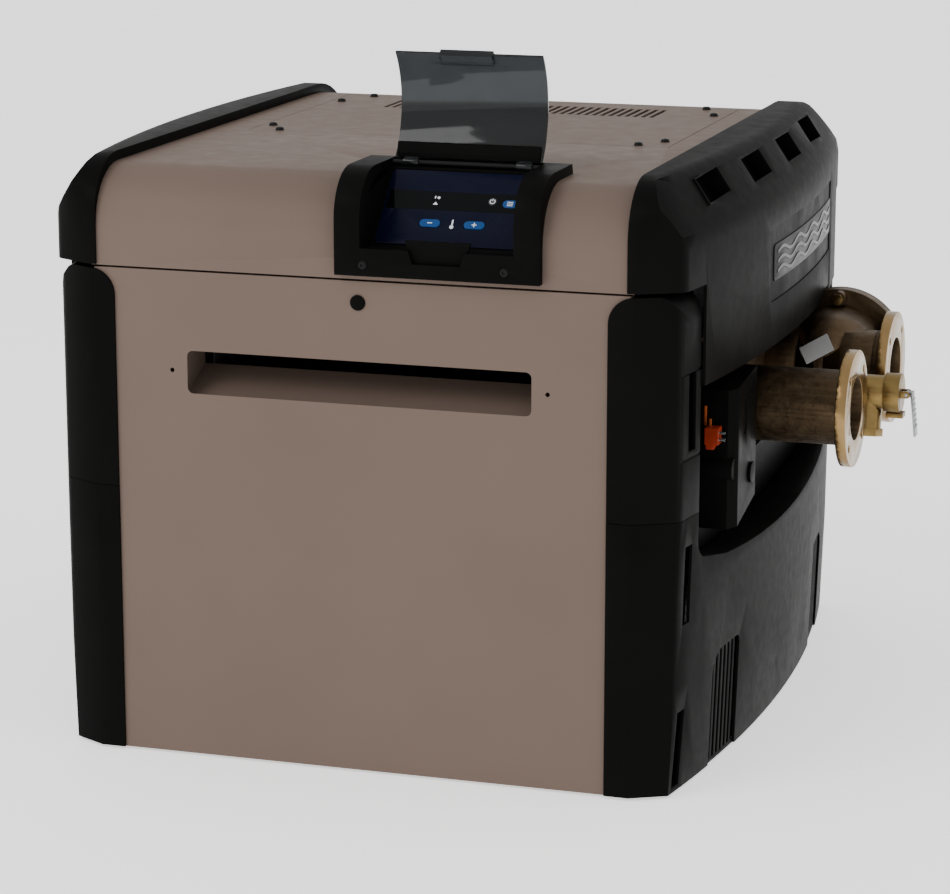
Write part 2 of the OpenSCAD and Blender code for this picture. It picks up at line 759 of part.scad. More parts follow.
module header_gasket() color([0.12, 0.12, 0.12]) difference() {
    translate([header_x0 - 1, (header_y0 + header_y1) / 2, port_z])
        along_x(2) rounded(header_y1 - header_y0, 128, 20);
    translate([header_x0, (header_y0 + header_y1) / 2, port_z])
        along_x(6) rounded(header_y1 - header_y0 - 36, 84, 24);
    header_bolt_places() rod_x(4.5, -4, 4);
}

module header_bolts() color(BRASS) {
    header_bolt_places() {
        translate([14, 0, 0]) rotate([0, 90, 0]) cylinder(r = 7, h = 6, $fn = 6);
        rod_x(4.4, -2, 14);
    }
    bell_bolt_places() {
        translate([0, -19, 0]) rotate([90, 0, 0]) cylinder(r = 6.5, h = 5, $fn = 6);
        rod_y(4, -19, 14);
        translate([0, 19, 0]) rotate([90, 0, 0]) cylinder(r = 6.5, h = 5, $fn = 6);
    }
}

module bell_bolt_places() {
    for (a = [30:60:330])
        translate([bell_x + bell_bolt_r * cos(a), ring_y, port_z + bell_bolt_r * sin(a)]) children();
}

module water_pipe(y, x0) {
    translate([0, y, port_z]) difference() {
        union() {
            rod_x(pipe_d / 2, x0, flange_x - 1);
            rod_x(flange_d / 2, flange_x - flange_t, flange_x);
            rod_x(pipe_d / 2 + 4, flange_x - flange_t - 3, flange_x - 1);
        }
        rod_x(pipe_bore / 2, x0 - 20, flange_x + 1);
        for (a = [45:90:315])
            translate([0, flange_pcd / 2 * cos(a), flange_pcd / 2 * sin(a)])
                rod_x(flange_hole_d / 2, flange_x - flange_t - 1, flange_x + 1);
    }
}

module inlet_pipe() color(BRONZE) water_pipe(inlet_y, header_x1);

module outlet_pipe() color(BRONZE) water_pipe(outlet_y, bell_x + dome_r + 1);

module bell_solid(inset) {
    translate([bell_x, ring_y, port_z]) rotate([90, 0, 0]) rotate_extrude() polygon(concat(
        [[0, -20]], [[dome_r - inset, -20]], arc(0, 46, dome_r - inset, 0, 90, 12)));
}

module bell_chamber() color(BRONZE) difference() {
    union() {
        bell_solid(0);
        translate([bell_x, 0, port_z]) rod_y(ring_r, ring_y - 6, ring_y + 6);
        bell_bolt_places() rod_y(8, -19, 6);
        // necks to the header and to the outlet flange
        translate([0, outlet_y, port_z]) {
            rod_x(pipe_d / 2, header_x1, bell_x - 30);
            rod_x(pipe_d / 2, bell_x + 20, bell_x + dome_r + 1);
        }
    }
    bell_solid(6);
    translate([bell_x, 0, port_z]) rod_y(dome_r - 6, ring_y - 4, ring_y + 40);
    translate([bell_x, 0, port_z]) rod_y(ring_r + 5, ring_y + 6, ring_y + 60);
    translate([0, outlet_y, port_z]) rod_x(30, header_x1 - 1, bell_x);
    translate([0, outlet_y, port_z]) rod_x(pipe_bore / 2, bell_x, bell_x + dome_r + 2);
    bell_bolt_places() rod_y(4 + fit, -30, 30);
}

module bell_cover() color(BRONZE) difference() {
    union() {
        translate([bell_x, 0, port_z]) rod_y(ring_r, ring_y + 6.4, ring_y + 14);
        translate([bell_x, ring_y + 6.4, port_z]) rotate([-90, 0, 0]) cylinder(r1 = 51, r2 = 36, h = 34);
    }
    translate([bell_x, ring_y + 6, port_z]) rotate([-90, 0, 0]) cylinder(r1 = 45, r2 = 30, h = 29);
    bell_bolt_places() rod_y(4 + fit, 0, 30);
}

module data_plate() color(STEEL) translate([bell_x, ring_y - 46, port_z])
    rotate([0, 0, -8]) rotate([-22, 0, 0]) translate([0, -dome_r - 0.9, 0]) rotate([0, -33, 0])
        cube([34, 1.6, 20], center = true);

// Spring-loaded bypass disc inside the bell
module bypass_valve() color(BRASS) translate([bell_x, ring_y, port_z]) {
    rod_y(26, -14, -10);
    rod_y(4, -10, 24);
}

module bypass_spring() color(STEEL) translate([bell_x, ring_y, port_z]) rotate([-90, 0, 0])
    for (i = [0:4]) translate([0, 0, -6 + i * 6.5]) rotate_extrude() translate([9, 0]) circle(r = 1.3, $fn = 16);

module relief_valve() color(BRASS) translate([0, relief_y, port_z]) difference() {
    union() {
        rod_x(14, header_x1, 420);
        translate([396, 0, 0]) rotate([0, 90, 0]) cylinder(r = 19, h = 14, $fn = 6);
        rod_x(18, 412, 450);
        relief_outlet() cylinder(r = 15, h = 40);
        relief_outlet() translate([0, 0, 36]) cylinder(r = 17.5, h = 8, $fn = 8);
    }
    rod_x(9, header_x1 - 1, 418);
    rod_x(5, 417, 432);
    relief_outlet() cylinder(r = 10.5, h = 60);
}

module relief_outlet() { translate([432, 0, -2]) rotate([170, 0, 0]) children(); }

module relief_cap() color(BRASS) translate([0, relief_y, port_z]) {
    difference() {
        rod_x(21, 450.2, 467);
        rod_x(3, 449, 470);
    }
    difference() {
        translate([0, 0, -25]) span([452, -8, 0], [470, 8, 5]);
        rod_x(20.9, 449, 468);
    }
    // ears that hold the lever pin
    for (s = [-1, 1]) difference() {
        union() {
            span([467, s * 6 - 1.5, -3.7], [473, s * 6 + 1.5, 3.7]);
            translate([473, 0, 0]) rod_y(3.7, s * 6 - 1.5, s * 6 + 1.5);
        }
        translate([473, 0, 0]) rod_y(1.6, -12, 12);
    }
}

// Test lever, drawn hanging down at rest, hinge along Y
module relief_lever() color(STEEL) translate([473, relief_y, port_z]) difference() {
    union() {
        rod_y(3.4, -4, 4);
        span([1.6, -4, -3], [5, 4, 2.6]);
        translate([5.2, 0, 0]) rotate([0, -6, 0]) span([-1, -7, -44], [1, 7, 2.6]);
    }
    rod_y(1.6 + fit, -10, 10);
    translate([6, 0, -33]) rod_x(3, -20, 20);
}

module lever_pin() color(STEEL) translate([473, relief_y, port_z]) rod_y(1.6, -8.5, 8.5);

// ---- heat exchanger and combustion ----

tube_x0 = -196;
tube_x1 = header_x0 - 2;
function tube_y(i) = header_y0 + 34 + i * (header_y1 - header_y0 - 68) / (tube_count - 1);

module exchanger_tubes() color(COPPER) for (i = [0:tube_count - 1]) translate([0, tube_y(i), port_z]) {
    length = tube_x1 - tube_x0;
    pitch = (length - 60) / fin_count;
    translate([tube_x0, 0, 0]) rotate([0, 90, 0]) rotate_extrude() polygon(concat(
        [[tube_d / 2 - 1.5, 0], [tube_d / 2, 0]],
        [for (k = [0:fin_count - 1], p = [[0, 0], [9, 0], [9, 2], [0, 2]])
            [tube_d / 2 + p[0], 30 + (k + 0.5) * pitch + p[1]]],
        [[tube_d / 2, length], [tube_d / 2 - 1.5, length]]));
}

module return_header() color(BRONZE) difference() {
    union() {
        translate([tube_x0 - 25, (header_y0 + header_y1) / 2, port_z])
            along_x(50) rounded(header_y1 - header_y0 - 24, 84, 26);
        translate([tube_x0 - 5, (header_y0 + header_y1) / 2, port_z])
            along_x(10) rounded(header_y1 - header_y0, 116, 18);
    }
    translate([tube_x0 - 20, (header_y0 + header_y1) / 2, port_z])
        along_x(48) rounded(header_y1 - header_y0 - 40, 68, 20);
}

chamber_x0 = -186;
chamber_x1 = 248;
chamber_y0 = front_y + 228;
chamber_y1 = front_y + 596;

module combustion_chamber() color(ZINC) difference() {
    span([chamber_x0, chamber_y0, 118], [chamber_x1, chamber_y1, 300]);
    span([chamber_x0 + 14, chamber_y0 + 14, 130], [chamber_x1 - 14, chamber_y1 - 14, 301]);
    for (i = [0:burner_count - 1]) translate([0, burner_y(i), 168]) rod_x(14.2, chamber_x0 - 1, chamber_x0 + 20);
    translate([60, 0, 190]) rod_y(9.2, chamber_y0 - 1, chamber_y0 + 20);
}

function burner_y(i) = chamber_y0 + 50 + i * (chamber_y1 - chamber_y0 - 100) / (burner_count - 1);

module burner_tubes() color(STEEL) for (i = [0:burner_count - 1]) translate([0, burner_y(i), 168]) difference() {
    rod_x(14, chamber_x0 - 6, chamber_x1 - 24);
    rod_x(12.4, chamber_x0 - 7, chamber_x1 - 26);
    span([chamber_x0 + 40, -1.5, 5], [chamber_x1 - 50, 1.5, 20]);
}

manifold_x = chamber_x0 - 22;

module gas_manifold() color(STEEL) {
    translate([manifold_x, 0, 168]) difference() {
        rod_y(11, gas_y + 34, chamber_y1 - 34);
        rod_y(8.5, gas_y + 33, chamber_y1 - 37);
    }
    for (i = [0:burner_count - 1]) translate([0, burner_y(i), 168]) rod_x(4, manifold_x + 10, chamber_x0 - 7);
}

gas_y = front_y + 150;
gas_z = 168;

module gas_valve() color([0.35, 0.36, 0.38]) translate([manifold_x, gas_y, gas_z]) {
    difference() {
        span([-26, -34, -30], [26, 34, 34]);
        translate([0, 0, 0]) rod_y(8.5, -10, 35);
        rod_x(9.6, -27, 0);
        translate([0, 0, 34]) cylinder(r = 3 + fit, h = 30, center = true);
    }
    translate([0, -16, 34]) cylinder(r = 9, h = 12);
}

module gas_valve_switch() color(BLACK) translate([manifold_x, gas_y, gas_z + 34]) {
    translate([0, 0, 0.4]) cylinder(r = 6.5, h = 3);
    translate([0, 0, -12]) cylinder(r = 3, h = 14);
    translate([0, 0, 3.4]) span([-3, -6, 0], [3, 6, 9]);
}

module gas_pipe() color([0.20, 0.20, 0.21]) translate([0, gas_y, gas_z]) difference() {
    union() {
        rod_x(13.5, -352, manifold_x - 26.2);
        translate([-352, 0, 0]) rotate([0, 90, 0]) cylinder(r = 20, h = 12, $fn = 6);
    }
    rod_x(10, -353, manifold_x - 26);
}

flue_z0 = 366;
flue_z1 = 452;

module flue_collector() color(ZINC) difference() {
    union() {
        span([chamber_x0, chamber_y0, flue_z0], [chamber_x1, chamber_y1, flue_z1]);
        span([-176, front_y + 66, slot_z - 4], [176, chamber_y0 + 2, slot_z + slot_h + 8]);
    }
    span([chamber_x0 + 2, chamber_y0 + 2, flue_z0 - 1], [chamber_x1 - 2, chamber_y1 - 2, flue_z1 - 2]);
    span([-174, front_y + 65, slot_z - 2], [174, chamber_y0 + 4, slot_z + slot_h + 6]);
}

fan = [-96, front_y + 128, 205];

module blower_housing() color([0.30, 0.30, 0.32]) translate(fan) difference() {
    union() {
        rod_y(78, -32, 32);
        span([30, -32, -78], [108, 32, -20]);
    }
    rod_y(75, -30, 30);
    span([20, -30, -75.5], [109, 30, -22.5]);
    rod_y(42, -40, 0);
    rod_y(7, 0, 40);
}

module blower_wheel() color(STEEL) translate(fan) {
    difference() {
        union() {
            rod_y(62, 20, 22);
            rod_y(9, -12, 20);
        }
        rod_y(4 + fit, -13, 40);
    }
    difference() {
        rod_y(62, -24, -22);
        rod_y(46, -25, -20);
    }
    for (i = [0:blade_count - 1]) rotate([0, i * 360 / blade_count, 0])
        translate([54, 0, 0]) rotate([0, 35, 0]) cube([13, 46, 1.6], center = true);
}

module blower_motor() color([0.16, 0.16, 0.17]) translate(fan) {
    rod_y(34, 34, 86);
    rod_y(4, -12, 34);
    for (a = [45:90:315]) translate([28 * cos(a), 0, 28 * sin(a)]) rod_y(4, 32, 34);
}

module igniter() color([0.85, 0.84, 0.80]) translate([60, 0, 190]) {
    rod_y(9, chamber_y0 - 22, chamber_y0 + 12);
    rod_y(2.5, chamber_y0 + 12, chamber_y0 + 46);
}

base_pan();
front_panel();
exhaust_deflector();
hole_plug();
top_panel();
access_panel();
panel_screws();
upper_cover_left();
upper_cover_right();
mid_panel_left();
mid_panel_right();
lower_panel_left();
lower_panel_right();
rear_panel();
recess_panel();
emblem_plates();
control_bezel();
bezel_screws();
display_cover();
hinge_pin();
keypad_overlay();
lcd_screen();
minus_button();
plus_button();
menu_button();
mode_button();
control_board();
transformer();
junction_box();
conduit_plug();
wire_connector();
connector_posts();
lead_wires();
header_casting();
header_gasket();
header_bolts();
inlet_pipe();
outlet_pipe();
bell_chamber();
bell_cover();
data_plate();
bypass_valve();
bypass_spring();
relief_valve();
relief_cap();
relief_lever();
lever_pin();
exchanger_tubes();
return_header();
combustion_chamber();
flue_collector();
burner_tubes();
gas_manifold();
gas_valve();
gas_valve_switch();
gas_pipe();
blower_housing();
blower_wheel();
blower_motor();
igniter();
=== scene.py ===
"""Looks of a low-profile pool heater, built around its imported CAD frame.

Everything is in metres in the frame's own axes: +X to the plumbing side, +Y to the back, +Z up.
"""
import json
import math

import bmesh
import bpy
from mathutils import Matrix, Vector

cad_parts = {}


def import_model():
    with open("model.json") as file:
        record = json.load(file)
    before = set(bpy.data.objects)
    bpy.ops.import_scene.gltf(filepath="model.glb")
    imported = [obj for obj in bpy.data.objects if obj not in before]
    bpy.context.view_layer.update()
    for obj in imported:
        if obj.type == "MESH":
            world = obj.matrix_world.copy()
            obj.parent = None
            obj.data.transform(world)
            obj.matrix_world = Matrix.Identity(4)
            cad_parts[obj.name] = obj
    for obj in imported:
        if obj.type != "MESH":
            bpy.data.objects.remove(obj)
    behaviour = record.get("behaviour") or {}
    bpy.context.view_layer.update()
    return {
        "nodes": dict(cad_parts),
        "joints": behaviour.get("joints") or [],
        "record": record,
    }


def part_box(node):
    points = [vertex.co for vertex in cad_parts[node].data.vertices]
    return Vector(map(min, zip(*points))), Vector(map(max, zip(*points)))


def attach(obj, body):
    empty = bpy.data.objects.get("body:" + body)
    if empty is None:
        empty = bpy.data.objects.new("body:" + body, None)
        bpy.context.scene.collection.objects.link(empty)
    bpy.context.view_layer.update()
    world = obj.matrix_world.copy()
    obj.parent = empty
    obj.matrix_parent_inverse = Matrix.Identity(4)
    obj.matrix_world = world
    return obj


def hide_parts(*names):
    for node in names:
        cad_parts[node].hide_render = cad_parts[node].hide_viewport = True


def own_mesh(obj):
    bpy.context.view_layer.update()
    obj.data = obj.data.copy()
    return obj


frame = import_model()
NODES = frame["nodes"]
BODY_OF = {n: body for body, members in frame["record"]["behaviour"]["bodies"].items() for n in members}
SLOT_OF = {s["node"]: s["material_slot"] for s in frame["record"]["subparts"]}
JOINT = {j["name"]: j for j in frame["joints"]}
MM = 0.001
SIDES = {"right": 1, "left": -1}
ENDS = {"rear": 1, "front": -1}


# ---- materials ----

class Look:
    """A procedural material: a Principled shader fed by textures in the object's own coordinates."""

    def __init__(self, name, metallic=0.0, specular=0.5):
        self.material = bpy.data.materials.new(name)
        self.material.use_nodes = True
        self.tree = self.material.node_tree
        self.shader = self.tree.nodes["Principled BSDF"]
        self.shader.inputs["Metallic"].default_value = metallic
        self.shader.inputs["Specular IOR Level"].default_value = specular

    def node(self, kind, **values):
        made = self.tree.nodes.new(kind)
        for key, value in values.items():
            setattr(made, key, value)
        return made

    def link(self, a, b):
        self.tree.links.new(a, b)

    def noise(self, size, detail=4.0, stretch=(1, 1, 1), roughness=0.55):
        """Noise whose features are about size metres across, drawn out along an axis by stretch."""
        coordinates = self.node("ShaderNodeTexCoord")
        mapping = self.node("ShaderNodeMapping")
        mapping.inputs["Scale"].default_value = [1 / s for s in stretch]
        texture = self.node("ShaderNodeTexNoise")
        texture.inputs["Scale"].default_value = 1 / size
        texture.inputs["Detail"].default_value = detail
        texture.inputs["Roughness"].default_value = roughness
        self.link(coordinates.outputs["Object"], mapping.inputs["Vector"])
        self.link(mapping.outputs["Vector"], texture.inputs["Vector"])
        return texture.outputs["Fac"]

    def spread(self, value, low, high, start=0.3, end=0.7):
        """A value from start to end, mapped to low to high."""
        ranged = self.node("ShaderNodeMapRange")
        for key, number in (("From Min", start), ("From Max", end), ("To Min", low), ("To Max", high)):
            ranged.inputs[key].default_value = number
        self.link(value, ranged.inputs["Value"])
        return ranged.outputs["Result"]

    def colour(self, value, *stops):
        """Base colour from a ramp of (place, (r, g, b)) stops."""
        ramp = self.node("ShaderNodeValToRGB")
        elements = ramp.color_ramp.elements
        while len(elements) < len(stops):
            elements.new(0.5)
        for element, (place, rgb) in zip(elements, stops):
            element.position = place
            element.color = (*rgb, 1)
        self.link(value, ramp.inputs["Fac"])
        self.link(ramp.outputs["Color"], self.shader.inputs["Base Color"])
        return self

    def rough(self, value, low, high):
        """Roughness that wanders between low and high."""
        self.link(self.spread(value, low, high), self.shader.inputs["Roughness"])
        return self

    def bump(self, *layers):
        """Stacks (height, depth in metres) layers of bump."""
        normal = None
        for height, depth in layers:
            bump = self.node("ShaderNodeBump")
            bump.inputs["Strength"].default_value = 1.0
            bump.inputs["Distance"].default_value = depth
            self.link(height, bump.inputs["Height"])
            if normal:
                self.link(normal, bump.inputs["Normal"])
            normal = bump.outputs["Normal"]
        self.link(normal, self.shader.inputs["Normal"])
        return self

    def put(self, **values):
        """Constants set straight on the shader, with _ for each space in a socket's name."""
        for key, value in values.items():
            self.shader.inputs[key.replace("_", " ")].default_value = value
        return self


def scaled(rgb, factor):
    return tuple(c * factor for c in rgb)


def painted(name, rgb, gloss=(0.42, 0.52), peel=12e-6):
    """Powder coat with a faint orange peel, peel metres deep."""
    look = Look(name, specular=0.3)
    look.put(IOR=1.18)
    patches = look.noise(0.16, 3)
    look.colour(patches, (0.3, scaled(rgb, 0.965)), (0.7, scaled(rgb, 1.03)))
    look.rough(look.noise(0.02, 4), *gloss)
    return look.bump((look.noise(0.0022, 2), peel), (look.noise(0.0006, 2), peel / 4)).material


def moulded(name, rgb, gloss=(0.40, 0.47), grain=14e-6):
    """Moulded plastic with a fine grain, grain metres deep."""
    look = Look(name, specular=0.3)
    look.put(IOR=1.1)
    patches = look.noise(0.07, 5)
    look.colour(patches, (0.25, scaled(rgb, 0.88)), (0.75, scaled(rgb, 1.12)))
    look.rough(look.noise(0.012, 5), *gloss)
    return look.bump((look.noise(0.0011, 3), grain), (look.noise(0.05, 2), grain)).material


def glossy(name, rgb, gloss=(0.14, 0.24)):
    """Smooth film, ink or hard plastic."""
    look = Look(name, specular=0.4)
    look.put(IOR=1.2)
    look.colour(look.noise(0.01, 3), (0.3, scaled(rgb, 0.92)), (0.7, scaled(rgb, 1.08)))
    look.rough(look.noise(0.006, 4), *gloss)
    return look.bump((look.noise(0.004, 2), 6e-6)).material


def metal(name, rgb, gloss=(0.25, 0.4), stretch=(1, 1, 1), depth=6e-6):
    """Bare metal with brush marks drawn out along an axis by stretch."""
    look = Look(name, metallic=1.0)
    brushed = look.noise(0.0015, 4, stretch)
    look.colour(look.noise(0.02, 4), (0.25, scaled(rgb, 0.82)), (0.75, scaled(rgb, 1.1)))
    look.rough(brushed, *gloss)
    return look.bump((brushed, depth)).material


def cast_bronze(name, dark, light, gloss=(0.34, 0.55), depth=0.00022):
    """Sand-cast bronze: tarnish in patches over a pebbled skin."""
    look = Look(name, metallic=1.0)
    tarnish = look.noise(0.035, 7, stretch=(2.2, 1, 1), roughness=0.62)
    look.colour(tarnish, (0.28, dark), (0.5, scaled(light, 0.72)), (0.72, light))
    look.rough(look.noise(0.01, 5), *gloss)
    pebbles = look.noise(0.0028, 5, roughness=0.6)
    return look.bump((pebbles, depth), (look.noise(0.018, 3), depth * 2)).material


def spangle(name, rgb):
    """Galvanised sheet with its crystal pattern."""
    look = Look(name, metallic=1.0)
    coordinates = look.node("ShaderNodeTexCoord")
    crystals = look.node("ShaderNodeTexVoronoi")
    crystals.inputs["Scale"].default_value = 90
    look.link(coordinates.outputs["Object"], crystals.inputs["Vector"])
    value = look.spread(crystals.outputs["Color"], 0.0, 1.0, 0.0, 1.0)
    look.colour(value, (0.0, scaled(rgb, 0.8)), (1.0, scaled(rgb, 1.1)))
    look.rough(value, 0.34, 0.52)
    return look.bump((look.noise(0.004, 3), 1e-5)).material


def smoke_plastic(name):
    """Dark see-through plastic."""
    look = Look(name, specular=0.5)
    look.colour(look.noise(0.03, 3), (0.3, (0.032, 0.036, 0.039)), (0.7, (0.038, 0.043, 0.046)))
    look.rough(look.noise(0.012, 4), 0.05, 0.11)
    look.put(Transmission_Weight=0.8, IOR=1.3)
    return look.bump((look.noise(0.03, 2), 2e-5)).material


TAUPE = (0.136, 0.099, 0.080)
BLACK = (0.0040, 0.0038, 0.0036)

LOOKS = {
    "tan_paint": painted("taupe_paint", TAUPE),
    "black_plastic": moulded("black_moulding", BLACK),
    "black_screw": painted("black_oxide", (0.012, 0.012, 0.012), gloss=(0.28, 0.4)),
    "badge": painted("dark_badge", (0.016, 0.016, 0.017), gloss=(0.3, 0.4), peel=6e-6),
    "galvanised": spangle("galvanised_sheet", (0.55, 0.57, 0.59)),
    "smoke_plastic": smoke_plastic("smoky_cover"),
    "steel": metal("satin_steel", (0.30, 0.31, 0.32), stretch=(1, 1, 8)),
    "navy_film": glossy("navy_film", (0.0022, 0.0032, 0.0140), gloss=(0.22, 0.32)),
    "lcd": glossy("dark_window", (0.0015, 0.0018, 0.0022), gloss=(0.05, 0.1)),
    "blue_key": glossy("blue_key", (0.012, 0.062, 0.205)),
    "dark_key": glossy("dark_key", (0.03, 0.03, 0.035)),
    "circuit_board": glossy("solder_mask", (0.01, 0.13, 0.05)),
    "dark_cast": moulded("dark_enamel", (0.06, 0.06, 0.063), gloss=(0.3, 0.45), grain=9e-5),
    "red_plastic": glossy("red_moulding", (0.22, 0.022, 0.007), gloss=(0.25, 0.4)),
    "wire_sleeve": glossy("orange_sleeve", (0.20, 0.040, 0.005), gloss=(0.3, 0.45)),
    "bronze": cast_bronze("cast_bronze", (0.032, 0.020, 0.011), (0.125, 0.084, 0.048)),
    "brass_fitting": cast_bronze("brass_fitting", (0.10, 0.060, 0.020), (0.27, 0.18, 0.065),
                                 gloss=(0.25, 0.4), depth=4e-5),
    "gasket_rubber": moulded("gasket_rubber", (0.012, 0.012, 0.012), gloss=(0.6, 0.75)),
    "copper": metal("drawn_copper", (0.72, 0.33, 0.19), stretch=(10, 1, 1)),
    "black_iron": painted("black_iron", (0.03, 0.03, 0.032), gloss=(0.5, 0.65), peel=5e-5),
    "white_ceramic": moulded("white_ceramic", (0.72, 0.71, 0.67), gloss=(0.5, 0.65)),
}
MACHINED = metal("machined_bronze", (0.27, 0.175, 0.075), gloss=(0.18, 0.28), depth=3e-6)
# the data plate's silver as a flat light grey; its brightness is partly painted reflection
PLATE_SILVER_AND_SHEEN = painted("plate_silver_painted_sheen", (0.36, 0.36, 0.36), gloss=(0.25, 0.35), peel=3e-6)
RELIEF = painted("badge_relief", (0.10, 0.10, 0.102), gloss=(0.25, 0.35), peel=3e-6)
# black moulding for the notch floor and the hinge band, also used for the painted-shade sheets behind the
# openings
DARK_MOULDING_AND_SHADE = moulded("hinge_moulding_and_shade_sheets", BLACK)
WHITE_INK = glossy("white_ink", (0.75, 0.78, 0.80), gloss=(0.35, 0.45))


# ---- pieces made from a CAD node's own shape, with worked edges ----

def middle(node):
    low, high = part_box(node)
    return (low + high) / 2


def new_piece(name, mesh, look):
    piece = bpy.data.objects.new(name, mesh)
    bpy.context.scene.collection.objects.link(piece)
    mesh.materials.clear()
    mesh.materials.append(look)
    return piece


def bevelled(piece, radius, segments=2):
    bevel = piece.modifiers.new("edges", "BEVEL")
    bevel.width = radius * MM
    bevel.segments = segments
    return bevel


FLAT_SHEETS = ("front_panel", "exhaust_deflector", "recess_panel")
SHARP = math.radians(38)        # edges sharper than this are rounded
FLAT = math.radians(0.4)        # neighbouring facets within this become one face


def worked(node, radius):
    """The node's shape again, with clean faces and every sharp edge rounded to radius millimetres."""
    mesh = NODES[node].data.copy()
    shape = bmesh.new()
    shape.from_mesh(mesh)
    bmesh.ops.remove_doubles(shape, verts=shape.verts, dist=0.00001)
    bmesh.ops.dissolve_limit(shape, angle_limit=FLAT, use_dissolve_boundaries=False,
                             verts=shape.verts, edges=shape.edges)
    shape.to_mesh(mesh)
    shape.free()
    if node in FLAT_SHEETS:
        mesh.shade_flat()
    else:
        mesh.shade_smooth()
    piece = new_piece(node + "_worked", mesh, OWN_LOOK.get(node, LOOKS[SLOT_OF[node]]))
    bevel = bevelled(piece, radius, segments=3)
    bevel.limit_method = "ANGLE"
    bevel.angle_limit = SHARP
    bevel.use_clamp_overlap = True
    bevel.harden_normals = node not in FLAT_SHEETS
    bevel.miter_outer = "MITER_ARC"
    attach(piece, BODY_OF[node])
    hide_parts(node)
    return piece


# nodes that don't look like the rest of their slot: a dark flue and a bright label, a flat light grey that
# is partly the label's own silver and partly painted reflection
OWN_LOOK = {"flue_collector": LOOKS["black_iron"], "data_plate": PLATE_SILVER_AND_SHEEN}

for name, node in NODES.items():
    node.data.materials.clear()
    node.data.materials.append(OWN_LOOK.get(name, LOOKS[SLOT_OF[name]]))

# radius of the worked edges, in millimetres
EDGE_RADIUS = {
    "front_panel": 0.7, "top_panel": 0.7, "exhaust_deflector": 0.5,
    "upper_cover_left": 2.2, "upper_cover_right": 2.2, "mid_panel_left": 2.2, "mid_panel_right": 2.2,
    "lower_panel_left": 2.2, "lower_panel_right": 2.2, "recess_panel": 0.5, "control_bezel": 1.6,
    "junction_box": 1.8, "conduit_plug": 0.7, "hole_plug": 0.8, "panel_screws": 0.35, "bezel_screws": 0.35,
    "emblem_plates": 0.8, "display_cover": 0.7, "keypad_overlay": 0.3, "minus_button": 0.5,
    "plus_button": 0.5, "menu_button": 0.5, "mode_button": 0.5, "inlet_pipe": 1.2, "outlet_pipe": 1.2,
    "bell_chamber": 1.8, "bell_cover": 1.4, "header_casting": 2.5, "header_bolts": 0.5,
    "relief_valve": 1.0, "relief_cap": 0.9, "relief_lever": 0.5, "data_plate": 0.3, "wire_connector": 0.6,
}
WORKED = {node: worked(node, radius) for node, radius in EDGE_RADIUS.items()}


def machine(node, depth, r_from):
    """Gives a flange's turned faces their bright metal: its front and what lies outside r_from."""
    mesh = WORKED[node].data
    axis = middle(node)
    x_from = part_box(node)[1].x - depth
    mesh.materials.append(MACHINED)
    for face in mesh.polygons:
        off = face.center - axis
        if face.center.x > x_from and (face.normal.x > 0.9 or math.hypot(off.y, off.z) > r_from):
            face.material_index = 1


# the bypass spring shortens as its valve lifts; here it only gets a mesh of its own
spring = worked("bypass_spring", 0.1)
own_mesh(spring)

for node in ("inlet_pipe", "outlet_pipe"):
    machine(node, depth=12 * MM, r_from=44 * MM)


# ---- small pieces the CAD leaves out ----

def pushed(name, shape, faces, depth):
    """A closed mesh made by pushing the faces along the vector depth."""
    grown = bmesh.ops.extrude_face_region(shape, geom=faces)
    ends = [v for v in grown["geom"] if isinstance(v, bmesh.types.BMVert)]
    bmesh.ops.translate(shape, verts=ends, vec=depth)
    bmesh.ops.recalc_face_normals(shape, faces=shape.faces)
    mesh = bpy.data.meshes.new(name)
    shape.to_mesh(mesh)
    shape.free()
    return mesh


def block(name, corners, depth, radius=0.4, body="cabinet", look=DARK_MOULDING_AND_SHADE):
    """A bevelled plate: its corner points, pushed along the vector depth."""
    shape = bmesh.new()
    face = shape.faces.new([shape.verts.new(c) for c in corners])
    piece = new_piece(name, pushed(name, shape, [face], depth), look)
    bevelled(piece, radius)
    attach(piece, body)


def upright(side, start, end, low, high):
    """Corners of an upright plate over the floor line from start to end, mirrored by side."""
    return [(side * x, y, z) for (x, y), z in ((start, low), (end, low), (end, high), (start, high))]


# floor of the finger notch below the display cover, as millimetres across and up
NOTCH = ((-27, 518), (27, 518), (33, 541), (-33, 541))
notch_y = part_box("control_bezel")[0].y + 5.5 * MM
bezel_x = middle("control_bezel").x
block("notch_floor", [(bezel_x + x * MM, notch_y, z * MM) for x, z in NOTCH], Vector((0, 3 * MM, 0)), 0.5)

# painted shade: dark sheets behind the louvres and the upright slots, and a dark sheet on the floor inside
# each side panel, so the openings show dark
BOW_R = 2.14                    # bow of the side panels, seen from above
FLOOR_REACH = 0.337             # how far from the middle the painted-shade floor sheets reach
SHADE_SHEET = 0.002                   # thickness of the painted-shade sheets
PAN_EDGE = 0.282                # where the painted-shade sheets meet the base pan
LOUVER_Z = (0.004, 0.130)
SLOT_Y = -0.318                 # just behind the upright slots of the front corners


def panel_shade_floor(side):
    """Outline of the painted-shade sheet on the floor inside a side panel, which follows the panel's bow.
    """
    z = 0.0036
    places = [i * 0.04 for i in range(-9, 10)]
    rim = [(side * (math.sqrt(BOW_R * BOW_R - y * y) - BOW_R + FLOOR_REACH), y, z) for y in places]
    return rim + [(side * (PAN_EDGE + 0.0005), y, z) for y in (places[-1], places[0])]


